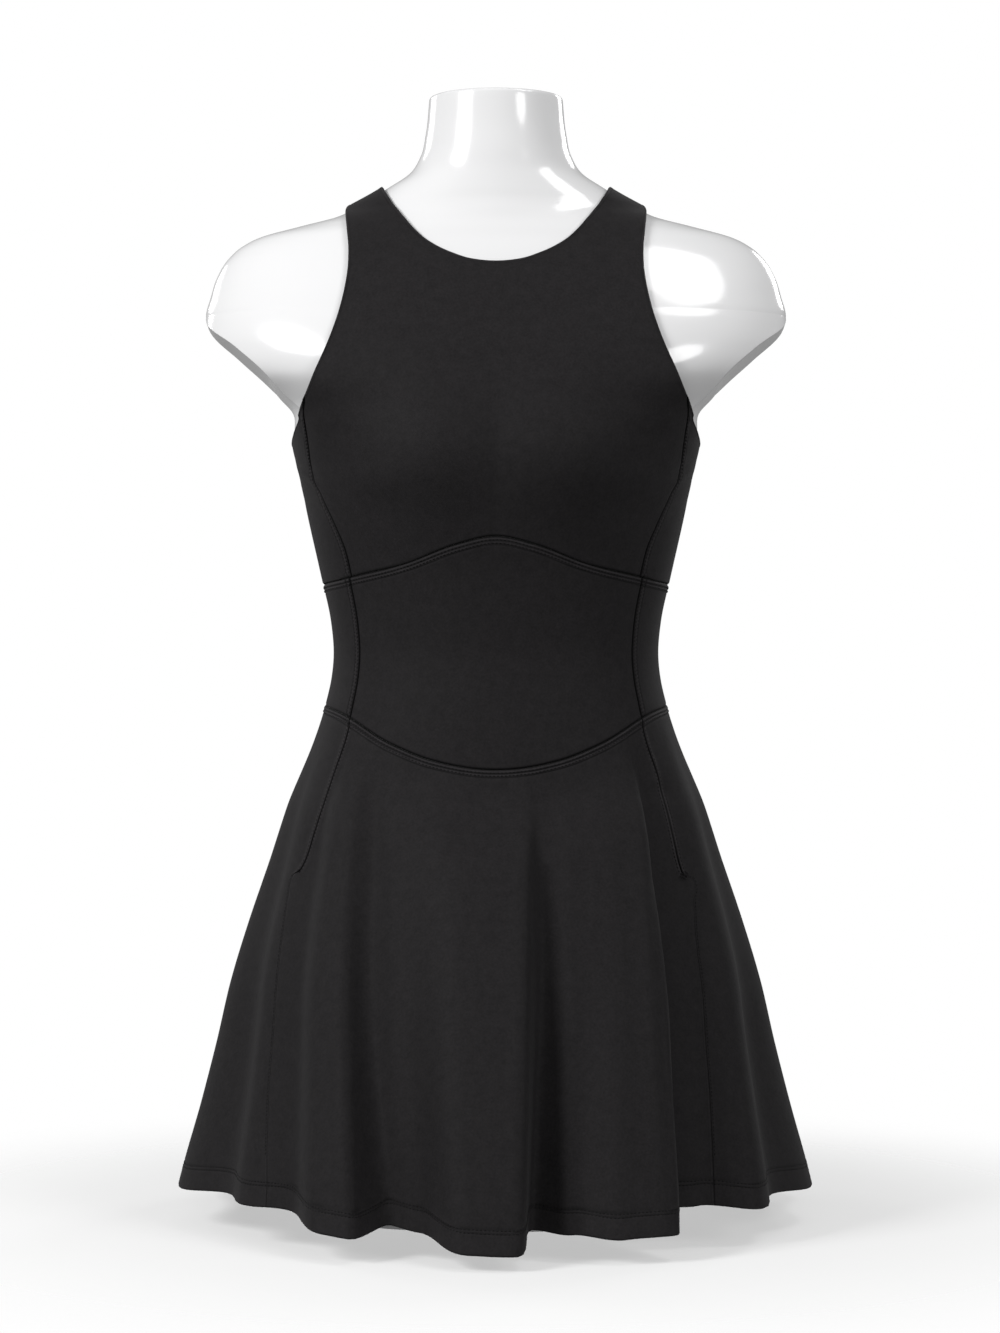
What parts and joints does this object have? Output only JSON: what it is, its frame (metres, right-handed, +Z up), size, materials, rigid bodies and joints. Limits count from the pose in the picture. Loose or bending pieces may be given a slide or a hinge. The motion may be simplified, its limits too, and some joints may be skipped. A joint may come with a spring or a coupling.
{
  "type": "tennis dress on a limbless dress form",
  "caption": "Sleeveless charcoal tennis dress with princess seams, fitted midriff and flared skirt, resting on a smooth white limbless dress form.",
  "frame": {"origin": "centre of the dress form's flat base, on the surface that it stands on", "axes": "+Z up; -Y the way the front of the dress faces; +X towards the wearer's left"},
  "size_m": [0.4551, 0.4704, 0.807],
  "materials": {
    "charcoal_knit": "matte brushed stretch knit, near black",
    "white_gloss": "smooth white gloss"
  },
  "bodies": {
    "root": {"bodice_front": "charcoal_knit", "bodice_side_left": "charcoal_knit", "bodice_side_right": "charcoal_knit", "bodice_back": "charcoal_knit", "midriff_front": "charcoal_knit", "midriff_side_left": "charcoal_knit", "midriff_side_right": "charcoal_knit", "midriff_back": "charcoal_knit", "skirt_front": "charcoal_knit", "skirt_side_left": "charcoal_knit", "skirt_side_right": "charcoal_knit", "skirt_back": "charcoal_knit", "dress_form": "white_gloss"}
  },
  "joints": []
}
